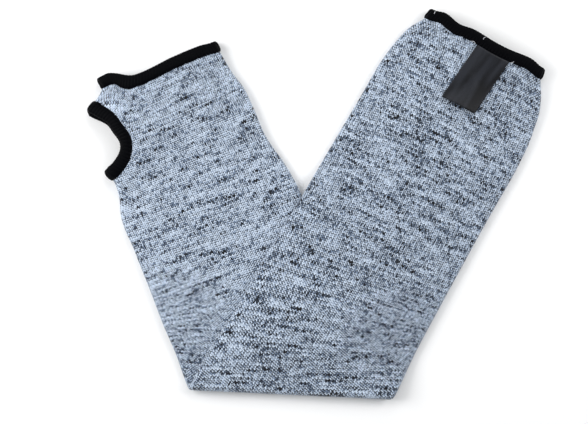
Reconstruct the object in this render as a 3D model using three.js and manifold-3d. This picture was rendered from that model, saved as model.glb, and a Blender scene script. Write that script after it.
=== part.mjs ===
// A knitted cut resistant sleeve with a thumb slot. It lies on a table, folded once on a slant, so that its
// two legs make a V: the hand leg lies below, and the arm leg comes back over it.
// Millimetres, +Z up. +X runs along the fold, +Y away from it, and the table is at z = 0.
import * as THREE from "three";
import { mergeVertices } from "three/addons/utils/BufferGeometryUtils.js";
import Module from "manifold-3d";

const wasm = await Module();
wasm.setup();

// The knitted tube.
const sleeveLength = 457; // from mouth to mouth, along the middle
const flatWidth = 111; // laid flat, at the fold
const handWidth = 73.6; // laid flat, at the hand mouth
const armWidth = 77; // laid flat, at the upper arm mouth
const wall = 1.4; // thickness of the knitted fabric
const legHollow = 7; // clear height inside a leg, in its middle
const edgeHollow = 2.2; // clear height inside the roll at a leg's two edges
const mouthEdgeHollow = 3.6; // the same at the mouths, where the thick edging holds it open

// The fold across the middle.
const foldFromHand = 210; // from the hand mouth to where the fabric starts to turn
const foldAngle = THREE.MathUtils.degToRad(26); // of the fold's line to a square fold
const foldHollow = 0.8; // clear height left inside the tube at the fold
const foldGap = 1.6; // between the two legs at the fold
const restGap = 0.4; // between the two legs where one rests on the other
const foldSlant = 0.02; // how much further out the fold's right end lies, for each millimetre along it
const pinchReach = 34; // how far from the fold the tube is still pinched
const drapeReach = 24; // how far past the lower leg's edge the upper leg comes down to the table
const skewFull = 12; // how far from the fold the fabric's rows still lie along it
const skewReach = 95; // how far past that they have become square to the sleeve

// The overlocked edging of both mouths and of the thumb slot.
const edgingCover = 5.6; // how far it reaches over the fabric
const edgingBeyond = 1.6; // how far it stands past the fabric's cut edge
const edgingThick = 3.8;
const edgingClearance = 0.65; // between it and the fabric inside it
const channelEnd = 1.15; // from the fabric's cut edge to the end of the channel it lies in
const liftReach = 16.8; // how far from it the fabric comes back down to the table
const slotLiftReach = 11.2; // the same along the sleeve, at the slot
const liftFull = 0.75; // share of the way out from the slot's middle where the lift is still full
const liftEnds = 1.375; // and where it has ended

// The thumb slot, as it would be measured on the tube's surface.
const slotFromHand = 30; // from the hand mouth to the slot's middle
const slotLength = 34.6; // along the sleeve
const slotGirth = 20; // round the sleeve
const slotTurn = 0.6; // how far it is turned towards the upper layer
const slotGape = 2.6; // how far the upper layer stands up beside it
const gapeLong = 0.62; // reach of that along the sleeve, a share of slotLength
const gapeInside = 0.62; // from the left edge to its middle, a share of slotGirth
const gapeWide = 0.85; // reach of it round the sleeve, a share of slotGirth
const handFlare = 9; // how far the edging pushes out at the slot's end near the hand
const handFlareInside = 4; // from that end of the slot to the middle of the flare
const armFlare = 5.4; // the same at its other end
const armFlareInside = 1;
const flareReach = 5.5;
const flareSharpness = 6; // how quickly the flare fades away from the left edge

// The label sewn in below the arm mouth's edging.
const labelWidth = 22;
const labelLength = 36.5;
const labelThick = 0.5;
const labelAcross = 13.4; // its middle, from the sleeve's middle line
const labelLean = 0.12; // how far it drifts across for each millimetre down
const labelCurl = 1.4; // how far its loose end stands up
const labelClearance = 0.4;

// Outline of the sleeve opened out flat. at: share of sleeveLength. fill: from 0, the width of the nearer
// mouth, to 1, flatWidth. drift: how far the middle wanders, as a share of flatWidth. hollow: share of legHollow.
const sections = [
  { at: -0.015, fill: 0, drift: 0.094, hollow: 1.36 },
  { at: 0, fill: 0, drift: 0.092, hollow: 1.36 },
  { at: 0.0206, fill: 0.216, drift: 0.0585, hollow: 1.3 },
  { at: 0.0534, fill: 0.38, drift: 0.046, hollow: 1.22 },
  { at: 0.0753, fill: 0.404, drift: 0.063, hollow: 1.14 },
  { at: 0.097, fill: 0.46, drift: 0.0575, hollow: 1.06 },
  { at: 0.119, fill: 0.551, drift: 0.04, hollow: 1.02 },
  { at: 0.141, fill: 0.594, drift: 0.03, hollow: 1 },
  { at: 0.163, fill: 0.722, drift: 0.019, hollow: 0.98 },
  { at: 0.185, fill: 0.813, drift: 0.023, hollow: 0.92 },
  { at: 0.207, fill: 0.845, drift: 0.029, hollow: 0.86 },
  { at: 0.228, fill: 0.877, drift: 0.029, hollow: 0.8 },
  { at: 0.272, fill: 0.906, drift: 0.025, hollow: 0.68 },
  { at: 0.316, fill: 0.935, drift: 0.017, hollow: 0.56 },
  { at: 0.36, fill: 0.947, drift: 0.013, hollow: 0.48 },
  { at: 0.403, fill: 0.979, drift: 0.003, hollow: 0.44 },
  { at: 0.47, fill: 1, drift: 0, hollow: 0.44 },
  { at: 0.535, fill: 0.93, drift: 0.015, hollow: 0.56 },
  { at: 0.6, fill: 0.894, drift: 0.016, hollow: 0.72 },
  { at: 0.666, fill: 0.853, drift: 0.028, hollow: 0.88 },
  { at: 0.732, fill: 0.824, drift: 0.038, hollow: 0.98 },
  { at: 0.797, fill: 0.8, drift: 0.048, hollow: 1 },
  { at: 0.863, fill: 0.788, drift: 0.061, hollow: 1.02 },
  { at: 0.907, fill: 0.753, drift: 0.063, hollow: 1.06 },
  { at: 0.929, fill: 0.676, drift: 0.062, hollow: 1.1 },
  { at: 0.951, fill: 0.57, drift: 0.063, hollow: 1.16 },
  { at: 0.972, fill: 0.362, drift: 0.059, hollow: 1.24 },
  { at: 0.99, fill: 0.075, drift: 0.06, hollow: 1.32 },
  { at: 1, fill: 0, drift: 0.062, hollow: 1.36 },
];
const widestAt = 0.47;

// How far a mouth's edge stands out past a square cut. across: -1 at the left edge, 1 at the right.
// out: share of that mouth's width.
const handEdge = [
  { across: -1, out: 0.072 },
  { across: -0.88, out: 0.07 },
  { across: -0.76, out: 0.042 },
  { across: -0.62, out: -0.004 },
  { across: -0.48, out: -0.032 },
  { across: -0.3, out: -0.042 },
  { across: -0.06, out: -0.041 },
  { across: 0.25, out: -0.033 },
  { across: 0.8, out: -0.036 },
  { across: 1, out: -0.05 },
];
const armEdge = [
  { across: -1, out: 0.02 },
  { across: -0.83, out: 0.036 },
  { across: -0.55, out: 0.008 },
  { across: -0.29, out: 0.02 },
  { across: 0.1, out: 0.008 },
  { across: 0.4, out: 0.01 },
  { across: 0.8, out: 0.03 },
  { across: 1, out: 0.012 },
];

// Soft folds of the upper layer. at: share of sleeveLength. across: share of the half width. long, wide:
// reach of the fold along and across its own line, shares of flatWidth. turn: degrees from square across
// the sleeve. rise: height, a share of legHollow.
const softFolds = [
  { at: 0.9, across: 0.05, long: 0.3, wide: 0.08, turn: 8, rise: 0.14 },
  { at: 0.855, across: -0.25, long: 0.26, wide: 0.09, turn: -10, rise: 0.12 },
  { at: 0.77, across: 0.25, long: 0.34, wide: 0.12, turn: 14, rise: 0.1 },
  { at: 0.68, across: -0.2, long: 0.32, wide: 0.12, turn: 22, rise: 0.1 },
  { at: 0.3, across: 0.1, long: 0.32, wide: 0.13, turn: -12, rise: 0.1 },
  { at: 0.2, across: -0.2, long: 0.28, wide: 0.12, turn: 10, rise: 0.1 },
];

// Counts of facets.
const leftRollFacets = 7;
const rightRollFacets = 4;
const layerFacets = 10;
const slotFacets = 40;
const mouthChannelSteps = 3;
const slotChannelSteps = 6;

// Sizes that follow from the ones above.
const mouthReach = 45; // how far from a mouth its shape is still felt
const slotStart = slotFromHand - slotLength / 2;
const slotEnd = slotFromHand + slotLength / 2;
const edgingRise = (edgingThick - wall) / 2; // the fabric stands up by this much inside its edging
const foldRoll = (foldHollow + wall) / 2;
const edgeRoll = (edgeHollow + wall) / 2;
const mouthRoll = (mouthEdgeHollow + wall) / 2;
const foldRadius = foldRoll + wall / 2 + foldGap / 2; // of the tube's mid plane round the fold
const turnLength = Math.PI * foldRadius;
const edgingSlot = wall / 2 + edgingClearance; // half the width of the channel that holds the fabric
const creaseTan = Math.tan(foldAngle);
const creaseCos = Math.cos(foldAngle);
const creaseSin = Math.sin(foldAngle);
const foldRows = turnLength / creaseCos; // length of sleeve that the fold takes up

const mix = (a, b, share) => a + (b - a) * share;
const ease = (x) => {
  const c = Math.min(1, Math.max(0, x));
  return c * c * (3 - 2 * c);
};
const bell = (x) => Math.exp(-x * x);

// Reads a table at x with a smooth curve through its rows. by names the column that x runs along.
function readTable(rows, by, x) {
  const c = Math.min(rows.at(-1)[by], Math.max(rows[0][by], x));
  let i = rows.findIndex((row) => row[by] > c) - 1;
  if (i < 0) i = rows.length - 2;
  const read = {};
  const slope = (k, key) => {
    const before = rows[Math.max(0, k - 1)];
    const after = rows[Math.min(rows.length - 1, k + 1)];
    return (after[key] - before[key]) / (after[by] - before[by]);
  };
  const span = rows[i + 1][by] - rows[i][by];
  const u = (c - rows[i][by]) / span;
  for (const key of Object.keys(rows[i])) {
    const a = rows[i][key];
    const b = rows[i + 1][key];
    const start = slope(i, key) * span;
    const end = slope(i + 1, key) * span;
    read[key] =
      (2 * u ** 3 - 3 * u ** 2 + 1) * a +
      (u ** 3 - 2 * u ** 2 + u) * start +
      (3 * u ** 2 - 2 * u ** 3) * b +
      (u ** 3 - u ** 2) * end;
  }
  return read;
}

// Half width, drift of the middle and clear height of the section at s along the sleeve.
function sectionAt(s) {
  const row = readTable(sections, "at", s / sleeveLength);
  const mouth = s / sleeveLength < widestAt ? handWidth : armWidth;
  return {
    half: (mix(mouth, flatWidth, row.fill) - wall) / 2,
    drift: row.drift * flatWidth,
    hollow: row.hollow * legHollow,
  };
}

// Round a section: turn 0 to 1 is the left roll, 1 to 2 the first layer, 2 to 3 the right roll and 3 to 4
// the second layer. across is the share of the flat part, out and up point away from the roll's centre.
function spotAt(turn) {
  const t = ((turn % 4) + 4) % 4;
  if (t < 1) {
    const a = Math.PI * (1.5 - t);
    return { across: -1, out: Math.cos(a), up: Math.sin(a) };
  }
  if (t < 2) return { across: 2 * t - 3, out: 0, up: 1 };
  if (t < 3) {
    const a = Math.PI * (2.5 - t);
    return { across: 1, out: Math.cos(a), up: Math.sin(a) };
  }
  return { across: 7 - 2 * t, out: 0, up: -1 };
}

// Where the flat point (s, t) lies from the fold: past it, and along it to the right.
const pastFold = (s, t) => (s - foldFromHand) * creaseCos - t * creaseSin;
const alongFold = (s, t) => (s - foldFromHand - foldRows / 2) * creaseSin + t * creaseCos;

// How far the thick edgings hold the tube open, from 0 to 1.
const heldOpen = (s) =>
  ease(1 - Math.min(s - slotEnd, sleeveLength - s) / mouthReach);

// Radius of the roll at a leg's edge, to the middle of the fabric, s along the sleeve and away from the fold.
const rollAt = (s, away) =>
  mix(mix(foldRoll, edgeRoll, ease(away / pinchReach)), mouthRoll, heldOpen(s));

// Height of the fold-free middle of a leg over its edges.
function crownAt(s, away, hollow) {
  const edge = 2 * rollAt(s, away) - wall;
  return Math.max(0, hollow - edge) * ease(away / pinchReach);
}

const crownShape = (across) => Math.cos((Math.PI / 2) * Math.min(1, Math.abs(across)));

// How far the slot's two ends push the sleeve's left edge out.
const flareAt = (row) =>
  handFlare * bell((row - slotStart - handFlareInside) / flareReach) +
  armFlare * bell((row - slotEnd + armFlareInside) / flareReach);

// How far the fabric is lifted off the table so that the thick edging can lie on it.
function liftAt(s, t, half) {
  const mouth = ease(1 - (Math.min(s, sleeveLength - s) - edgingCover) / liftReach);
  const along = (s - slotFromHand) / (slotLength / 2 + slotLiftReach);
  const across = (t + half) / (slotGirth / 2 + liftReach);
  const slot = ease((liftEnds - Math.hypot(along, Math.max(0, across))) / (liftEnds - liftFull));
  return edgingRise * Math.max(mouth, slot);
}

// How far the upper layer stands up beside the slot.
const gapeAt = (s, t, half) =>
  slotGape *
  bell((s - slotFromHand) / (gapeLong * slotLength)) *
  bell((t + half - gapeInside * slotGirth) / (gapeWide * slotGirth));

function softFoldAt(s, t, section) {
  let rise = 0;
  for (const fold of softFolds) {
    const a = THREE.MathUtils.degToRad(fold.turn);
    const ds = s - fold.at * sleeveLength;
    const dt = t - section.drift - fold.across * section.half;
    const along = (dt * Math.cos(a) + ds * Math.sin(a)) / (fold.long * flatWidth);
    const over = (ds * Math.cos(a) - dt * Math.sin(a)) / (fold.wide * flatWidth);
    rise += fold.rise * legHollow * bell(along) * bell(over);
  }
  return rise;
}

// Height of what the upper leg rests on, at the point (x, y) of the table: the lower leg, and past its
// edge a slope down to the table.
function supportAt(x, y) {
  const s = foldFromHand + foldRows / 2 - (y + turnLength / 2) * creaseCos + x * creaseSin;
  const t = x * creaseCos + (y + turnLength / 2) * creaseSin;
  const section = sectionAt(s);
  const roll = rollAt(s, y);
  const across = (t - section.drift) / section.half;
  const top = wall + 2 * roll + crownAt(s, y, section.hollow) * crownShape(across);
  const gap = mix(foldGap, restGap, ease(y / pinchReach));
  return (top + gap) * (1 - ease(((across - 1) * section.half) / drapeReach));
}

// A point in the middle of the fabric. row: the distance from the hand mouth on the middle line; rows near
// the fold lie along it, and rows at a mouth follow its edge.
function fabric(row, turn) {
  const spot = spotAt(turn);
  const rough = sectionAt(row);
  const side = rough.drift + spot.across * rough.half;
  const skew = 1 - ease((Math.abs(row - foldFromHand - turnLength / 2) - skewFull) / skewReach);
  const hand = readTable(handEdge, "across", spot.across).out * handWidth;
  const arm = readTable(armEdge, "across", spot.across).out * armWidth;
  const s =
    row +
    skew * creaseTan * side -
    hand * ease(1 - row / mouthReach) +
    arm * ease(1 - (sleeveLength - row) / mouthReach);

  const section = sectionAt(s);
  const past = pastFold(s, section.drift + spot.across * section.half);
  const away = past > turnLength ? past - turnLength : Math.max(0, -past);
  const roll = rollAt(s, away);
  const t =
    section.drift +
    spot.across * (section.half - roll) +
    spot.out * roll -
    flareAt(row) * Math.max(0, -spot.across) ** flareSharpness;
  const lift = liftAt(s, t - section.drift, section.half);
  const crown =
    crownAt(s, away, section.hollow) * crownShape(spot.across) +
    softFoldAt(s, t, section) * ease(away / pinchReach) * crownShape(spot.across);
  const gape = gapeAt(s, t - section.drift, section.half);

  const x = alongFold(s, t);
  const d = pastFold(s, t);
  const slant = foldSlant * x * bell(away / pinchReach);
  if (d <= 0) {
    const upper = ((1 + spot.up) / 2) * (crown + gape);
    return new THREE.Vector3(x, -d - slant, wall / 2 + lift + roll * (1 + spot.up) + upper);
  }
  if (d < turnLength) {
    const a = d / foldRadius;
    const reach = foldRadius - roll * spot.up;
    const centre = wall / 2 + roll + foldRadius;
    return new THREE.Vector3(x, -reach * Math.sin(a) - slant, centre - reach * Math.cos(a));
  }
  const y = d - turnLength;
  const upper = ((1 - spot.up) / 2) * crown;
  const z = supportAt(x, y) + wall / 2 + lift + roll * (1 - spot.up) + upper;
  return new THREE.Vector3(x, y - slant, z);
}

// Small steps along the fabric and round it, to find its slopes.
const rowStep = 0.5;
const turnStep = 0.02;

// The fabric's outward normal.
function facing(row, turn) {
  const round = fabric(row, turn + turnStep).sub(fabric(row, turn - turnStep));
  const along = fabric(row + rowStep, turn).sub(fabric(row - rowStep, turn));
  return along.cross(round).normalize();
}

const offset = (row, turn, out) => fabric(row, turn).addScaledVector(facing(row, turn), out);

// A closed surface from rings of points: each ring closes on itself, and the last ring joins the first.
function closedLoop(rings) {
  const wide = rings[0].length;
  const points = rings.flat();
  const faces = [];
  rings.forEach((ring, i) => {
    const next = ((i + 1) % rings.length) * wide;
    for (let k = 0; k < wide; k++) {
      const l = (k + 1) % wide;
      faces.push(i * wide + k, next + k, next + l, i * wide + k, next + l, i * wide + l);
    }
  });
  return new THREE.BufferGeometry().setFromPoints(points).setIndex(faces);
}

function toSolid(geometry) {
  const bare = geometry.clone();
  bare.deleteAttribute("normal");
  bare.deleteAttribute("uv");
  const merged = mergeVertices(bare, 1e-4);
  const corners = merged.index.array;
  const triVerts = [];
  for (let i = 0; i < corners.length; i += 3) {
    const [a, b, c] = corners.slice(i, i + 3);
    if (a !== b && b !== c && c !== a) triVerts.push(a, b, c);
  }
  return new wasm.Manifold(
    new wasm.Mesh({
      numProp: 3,
      vertProperties: merged.attributes.position.array,
      triVerts: new Uint32Array(triVerts),
    }),
  );
}

function toGeometry(solid) {
  const mesh = solid.getMesh();
  const geometry = new THREE.BufferGeometry();
  geometry.setAttribute("position", new THREE.BufferAttribute(mesh.vertProperties, 3));
  geometry.setIndex(new THREE.BufferAttribute(mesh.triVerts, 1));
  return geometry;
}

const steps = (from, to, count) =>
  Array.from({ length: count }, (_, i) => from + ((to - from) * i) / count);

// Stations round the sleeve, close together in the two rolls and beside the left one, where the slot is.
const besideLeft = 0.13;
const besideFacets = 4;
const turns = [
  ...steps(0, 1, leftRollFacets),
  ...steps(1, 1 + besideLeft, besideFacets),
  ...steps(1 + besideLeft, 2, layerFacets - besideFacets),
  ...steps(2, 3, rightRollFacets),
  ...steps(3, 4 - besideLeft, layerFacets - besideFacets),
  ...steps(4 - besideLeft, 4, besideFacets),
];

// Rows along the sleeve, close together at the slot's two ends and round the fold. count: rows from the
// end of the span before, up to to.
const edgedRow = edgingCover + 2 * edgingClearance;
const rowSpans = [
  { to: edgedRow, count: 2 },
  { to: slotStart + flareReach, count: 11 },
  { to: slotEnd - flareReach, count: 3 },
  { to: slotEnd + edgingCover, count: 8 },
  { to: slotEnd + 2 * edgingCover, count: 1 },
  { to: foldFromHand - pinchReach, count: 5 },
  { to: foldFromHand, count: 3 },
  { to: foldFromHand + foldRows, count: 6 },
  { to: foldFromHand + foldRows + pinchReach, count: 4 },
  { to: sleeveLength - 2 * mouthReach, count: 7 },
  { to: sleeveLength - edgedRow, count: 9 },
  { to: sleeveLength, count: 2 },
];
const rows = rowSpans
  .flatMap(({ to, count }, i) => steps(i ? rowSpans[i - 1].to : 0, to, count))
  .concat(sleeveLength);

// Stations round the slot, closer together at its two ends, where the fabric turns over the sleeve's edge.
const endCrowding = 0.22;
const slotAngles = steps(2 * Math.PI, 0, slotFacets).map((a) => a - endCrowding * Math.sin(2 * a));

// The turn of a place that lies round millimetres from the middle of the left roll, towards the upper layer.
function turnAt(row, round) {
  const { half } = sectionAt(row);
  const roll = rollAt(row, foldFromHand);
  const quarter = (Math.PI / 2) * roll;
  if (Math.abs(round) < quarter) return 0.5 + round / (2 * quarter);
  const inFlat = (Math.abs(round) - quarter) / (2 * (half - roll));
  return round > 0 ? 1 + inFlat : 4 - inFlat;
}

// A place inside the slot, or on its edge where share is 1.
function inSlot(angle, share) {
  const row = slotFromHand - share * (slotLength / 2) * Math.cos(angle);
  return [row, turnAt(row, share * (slotGirth / 2) * Math.sin(angle) + slotTurn)];
}

// A place beside the slot, past millimetres inside its edge, square to the edge on the fabric itself.
function besideSlot(angle, past) {
  const row = slotFromHand - (slotLength / 2) * Math.cos(angle);
  const round = (slotGirth / 2) * Math.sin(angle) + slotTurn;
  const at = (dRow, dRound) => fabric(row + dRow, turnAt(row + dRow, round + dRound));
  const perRow = at(rowStep, 0).sub(at(-rowStep, 0)).divideScalar(2 * rowStep);
  const perRound = at(0, rowStep).sub(at(0, -rowStep)).divideScalar(2 * rowStep);
  const edgeRow = (slotLength / 2) * Math.sin(angle);
  const edgeRound = (slotGirth / 2) * Math.cos(angle);
  const edge = perRow.clone().multiplyScalar(edgeRow).addScaledVector(perRound, edgeRound);
  const byRow = -edge.dot(perRound);
  const byRound = edge.dot(perRow);
  const length = perRow.multiplyScalar(byRow).addScaledVector(perRound, byRound).length();
  const inside = Math.sign(byRow * (slotFromHand - row) + byRound * (slotTurn - round)) * (past / length);
  const placeRow = row + inside * byRow;
  return [placeRow, turnAt(placeRow, round + inside * byRound)];
}

// The tool that cuts the slot: a plug that follows the fabric, thicker than it on both sides.
const plugDepth = 1.7 * wall;
const plugRings = 10;
function slotPlug() {
  const shares = steps(0, 1, plugRings).concat(1);
  const ring = (share, out) => slotAngles.map((a) => offset(...inSlot(a, share), out));
  const outer = shares.map((share) => ring(share, plugDepth));
  const inner = shares.toReversed().map((share) => ring(share, -plugDepth));
  return toSolid(closedLoop([...outer, ...inner]));
}

// The knitted tube: outer skin, and inner skin back again, with the slot cut out.
function knitBody() {
  const ring = (row, out) => turns.map((turn) => offset(row, turn, out));
  const outer = rows.map((row) => ring(row, wall / 2));
  const inner = rows.toReversed().map((row) => ring(row, -wall / 2));
  const tube = toSolid(closedLoop([...outer, ...inner]));
  return toGeometry(tube.subtract(slotPlug()));
}

// Section of the edging: a rounded band with a channel for the fabric. way: share of the way from its inner
// side to its outer one. thick: share of edgingThick.
const edgingProfile = [
  { way: 0.06, thick: 0.9 },
  { way: 0.5, thick: 1 },
  { way: 0.95, thick: 0.87 },
  { way: 1, thick: 0.45 },
];
const edgingSkin = [
  { past: -edgingCover, out: edgingSlot },
  ...edgingProfile.map(({ way, thick }) => ({
    past: mix(-edgingCover, edgingBeyond, way),
    out: (thick * edgingThick) / 2,
  })),
];
function edgingSection(channelSteps) {
  const side = steps(channelEnd, -edgingCover, channelSteps);
  return [
    ...edgingSkin,
    ...edgingSkin.map(({ past, out }) => ({ past, out: -out })).reverse(),
    ...side.map((past) => ({ past, out: -edgingSlot })).reverse(),
    ...side.map((past) => ({ past, out: edgingSlot })),
  ];
}

// Edging of a mouth: a band round the sleeve at the row, with its edge on the side that way points to.
const mouthEdging = (row, way) =>
  closedLoop(
    (way < 0 ? turns : turns.toReversed()).map((turn) =>
      edgingSection(mouthChannelSteps).map(({ past, out }) => offset(row + way * past, turn, out)),
    ),
  );

const slotEdging = () =>
  closedLoop(
    slotAngles.map((angle) =>
      edgingSection(slotChannelSteps).map(({ past, out }) => offset(...besideSlot(angle, past), out)),
    ),
  );

// The label: a ribbon that lies on the arm leg's upper layer, with its top against the edging.
function label() {
  const wide = 4;
  const long = 8;
  const top = sleeveLength - edgingCover - labelClearance;
  const sheet = (height) => {
    const points = [];
    for (let j = 0; j <= long; j++) {
      const down = (labelLength * j) / long;
      const row = top - down;
      const { half, drift } = sectionAt(row);
      const roll = rollAt(row, foldFromHand);
      for (let i = 0; i <= wide; i++) {
        const t = labelAcross + labelWidth * (i / wide - 0.5) - labelLean * down;
        const across = (t - drift) / (half - roll);
        const curl = labelCurl * (down / labelLength) ** 3;
        points.push(offset(row, (7 - across) / 2, wall / 2 + labelClearance + curl + height));
      }
    }
    return points;
  };
  const points = [...sheet(0), ...sheet(labelThick)];
  const at = (j, i) => j * (wide + 1) + i;
  const above = (wide + 1) * (long + 1);
  const faces = [];
  const quad = (a, b, c, d) => faces.push(a, b, c, a, c, d);
  for (let j = 0; j < long; j++)
    for (let i = 0; i < wide; i++) {
      quad(at(j, i), at(j, i + 1), at(j + 1, i + 1), at(j + 1, i));
      quad(above + at(j, i), above + at(j + 1, i), above + at(j + 1, i + 1), above + at(j, i + 1));
    }
  const rim = [
    ...steps(0, wide, wide).map((i) => at(0, i)),
    ...steps(0, long, long).map((j) => at(j, wide)),
    ...steps(wide, 0, wide).map((i) => at(long, i)),
    ...steps(long, 0, long).map((j) => at(j, 0)),
  ];
  rim.forEach((a, k) => {
    const b = rim[(k + 1) % rim.length];
    quad(a, above + a, above + b, b);
  });
  return new THREE.BufferGeometry().setFromPoints(points).setIndex(faces);
}

const knitYarn = new THREE.MeshStandardMaterial({ color: 0x94a3b6, roughness: 0.95, metalness: 0 });
const edgingThread = new THREE.MeshStandardMaterial({ color: 0x0b0c10, roughness: 0.8, metalness: 0 });
const labelSatin = new THREE.MeshStandardMaterial({ color: 0x2c2d31, roughness: 0.5, metalness: 0 });

const sleeve = new THREE.Group();

function addPiece(name, geometry, material) {
  geometry.computeVertexNormals();
  const piece = new THREE.Mesh(geometry, material);
  piece.name = name;
  sleeve.add(piece);
}

addPiece("knit_body", knitBody(), knitYarn);
addPiece("hand_edging", mouthEdging(0, -1), edgingThread);
addPiece("thumb_edging", slotEdging(), edgingThread);
addPiece("arm_edging", mouthEdging(sleeveLength, 1), edgingThread);
addPiece("label", label(), labelSatin);

// The part's origin: on the table, under the middle of its box.
const box = new THREE.Box3().setFromObject(sleeve);
const middle = box.getCenter(new THREE.Vector3());
sleeve.position.set(-middle.x, -middle.y, -box.min.z);

export default sleeve;
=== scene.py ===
from math import cos, pi, radians, sin, tan

import bmesh
import bpy
import numpy as np
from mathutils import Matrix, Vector, noise


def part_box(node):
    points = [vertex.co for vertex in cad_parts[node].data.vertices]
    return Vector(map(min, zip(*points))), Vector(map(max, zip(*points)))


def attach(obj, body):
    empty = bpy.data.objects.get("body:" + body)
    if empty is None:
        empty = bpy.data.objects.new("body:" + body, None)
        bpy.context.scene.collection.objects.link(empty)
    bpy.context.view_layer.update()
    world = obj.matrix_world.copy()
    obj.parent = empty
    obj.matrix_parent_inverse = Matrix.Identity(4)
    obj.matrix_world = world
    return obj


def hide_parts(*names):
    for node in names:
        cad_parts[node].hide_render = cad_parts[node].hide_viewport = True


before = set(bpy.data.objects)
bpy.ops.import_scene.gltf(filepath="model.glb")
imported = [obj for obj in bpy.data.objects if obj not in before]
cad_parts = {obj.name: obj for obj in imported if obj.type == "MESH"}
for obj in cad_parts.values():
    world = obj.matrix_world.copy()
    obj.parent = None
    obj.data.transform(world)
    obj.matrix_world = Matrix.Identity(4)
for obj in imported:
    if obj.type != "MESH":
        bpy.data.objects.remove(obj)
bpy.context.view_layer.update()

mm = 0.001

# The sleeve as the solids have it, in millimetres.
sleeve = dict(
    length=457,          # mouth to mouth
    flatWidth=111,       # at the fold
    handWidth=73.6,
    armWidth=77,
    wall=1.4,
    legHollow=7,
    edgeHollow=2.2,
    mouthEdgeHollow=3.6,
    mouthReach=45,
)
fold = dict(
    fromHand=210,
    angle=radians(26),
    hollow=0.8,
    gap=1.6,
    restGap=0.4,
    slant=0.02,
    pinchReach=34,
    drapeReach=24,
    skewFull=12,
    skewReach=95,
)
edging = dict(
    cover=5.6,           # over the fabric
    beyond=1.6,          # past the fabric's cut edge
    thick=3.8,
    square=0.75,         # 1 is an oval section, 0 a square one
    liftReach=16.8,
    slotLiftReach=11.2,
    liftFull=0.75,
    liftEnds=1.375,
    threadPitch=1.87,    # from one wrapped thread to the next
    threadRise=0.42,
    threadSlant=0.35,    # how far a thread leans on its way over the edge, in pitches
    ribInside=0.06,      # how much a thread widens the band at its inner side
    ribOutside=0.05,     # and at its outer side
    ribPower=0.6,        # below 1 a rib is round and the valley beside it sharp
    stationsPerThread=8,
)
slot = dict(
    fromHand=30,
    length=34.6,
    girth=20,
    turn=0.6,
    gape=2.6,
    gapeLong=0.62,
    gapeInside=0.62,
    gapeWide=0.85,
    handFlare=9,
    handFlareInside=4,
    armFlare=5.4,
    armFlareInside=1,
    flareReach=5.5,
    flareSharpness=6,
)

# Outline of the sleeve opened out flat: share of the length, share of the way from the mouth's width to
# flatWidth, drift of the middle as a share of flatWidth, share of legHollow.
sections = np.array([
    # at, width, drift, hollow
    (-0.015, 0, 0.094, 1.36),
    (0, 0, 0.092, 1.36),
    (0.0206, 0.216, 0.0585, 1.3),
    (0.0534, 0.38, 0.046, 1.22),
    (0.0753, 0.404, 0.063, 1.14),
    (0.097, 0.46, 0.0575, 1.06),
    (0.119, 0.551, 0.04, 1.02),
    (0.141, 0.594, 0.03, 1),
    (0.163, 0.722, 0.019, 0.98),
    (0.185, 0.813, 0.023, 0.92),
    (0.207, 0.845, 0.029, 0.86),
    (0.228, 0.877, 0.029, 0.8),
    (0.272, 0.906, 0.025, 0.68),
    (0.316, 0.935, 0.017, 0.56),
    (0.36, 0.947, 0.013, 0.48),
    (0.403, 0.979, 0.003, 0.44),
    (0.47, 1, 0, 0.44),
    (0.535, 0.93, 0.015, 0.56),
    (0.6, 0.894, 0.016, 0.72),
    (0.666, 0.853, 0.028, 0.88),
    (0.732, 0.824, 0.038, 0.98),
    (0.797, 0.8, 0.048, 1),
    (0.863, 0.788, 0.061, 1.02),
    (0.907, 0.753, 0.063, 1.06),
    (0.929, 0.676, 0.062, 1.1),
    (0.951, 0.57, 0.063, 1.16),
    (0.972, 0.362, 0.059, 1.24),
    (0.99, 0.075, 0.06, 1.32),
    (1, 0, 0.062, 1.36),
])
widestAt = 0.47

# How far a mouth's edge stands past a square cut: place across, -1 to 1, and share of the mouth's width.
handEdge = np.array([
    # across, out
    (-1, 0.072),
    (-0.88, 0.07),
    (-0.76, 0.042),
    (-0.62, -0.004),
    (-0.48, -0.032),
    (-0.3, -0.042),
    (-0.06, -0.041),
    (0.25, -0.033),
    (0.8, -0.036),
    (1, -0.05),
])
armEdge = np.array([
    # across, out
    (-1, 0.02),
    (-0.83, 0.036),
    (-0.55, 0.008),
    (-0.29, 0.02),
    (0.1, 0.008),
    (0.4, 0.01),
    (0.8, 0.03),
    (1, 0.012),
])

# Soft folds of the upper layer: share of the length, share of the half width, reach along and across the
# fold's own line as shares of flatWidth, degrees from square across the sleeve, share of legHollow.
softFolds = [
    # at, across, long, wide, turn, rise
    (0.9, 0.05, 0.3, 0.08, 8, 0.14),
    (0.855, -0.25, 0.26, 0.09, -10, 0.12),
    (0.77, 0.25, 0.34, 0.12, 14, 0.1),
    (0.68, -0.2, 0.32, 0.12, 22, 0.1),
    (0.3, 0.1, 0.32, 0.13, -12, 0.1),
    (0.2, -0.2, 0.28, 0.12, 10, 0.1),
]

foldRoll = (fold["hollow"] + sleeve["wall"]) / 2
edgeRoll = (sleeve["edgeHollow"] + sleeve["wall"]) / 2
mouthRoll = (sleeve["mouthEdgeHollow"] + sleeve["wall"]) / 2
foldRadius = foldRoll + sleeve["wall"] / 2 + fold["gap"] / 2
turnLength = pi * foldRadius
foldRows = turnLength / cos(fold["angle"])
edgingRise = (edging["thick"] - sleeve["wall"]) / 2
slotStart = slot["fromHand"] - slot["length"] / 2
slotEnd = slot["fromHand"] + slot["length"] / 2
creaseTan, creaseCos, creaseSin = tan(fold["angle"]), cos(fold["angle"]), sin(fold["angle"])


def mix(a, b, share):
    return a + (b - a) * share


def ease(x):
    x = np.clip(x, 0, 1)
    return x * x * (3 - 2 * x)


def bell(x):
    return np.exp(-x * x)


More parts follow.
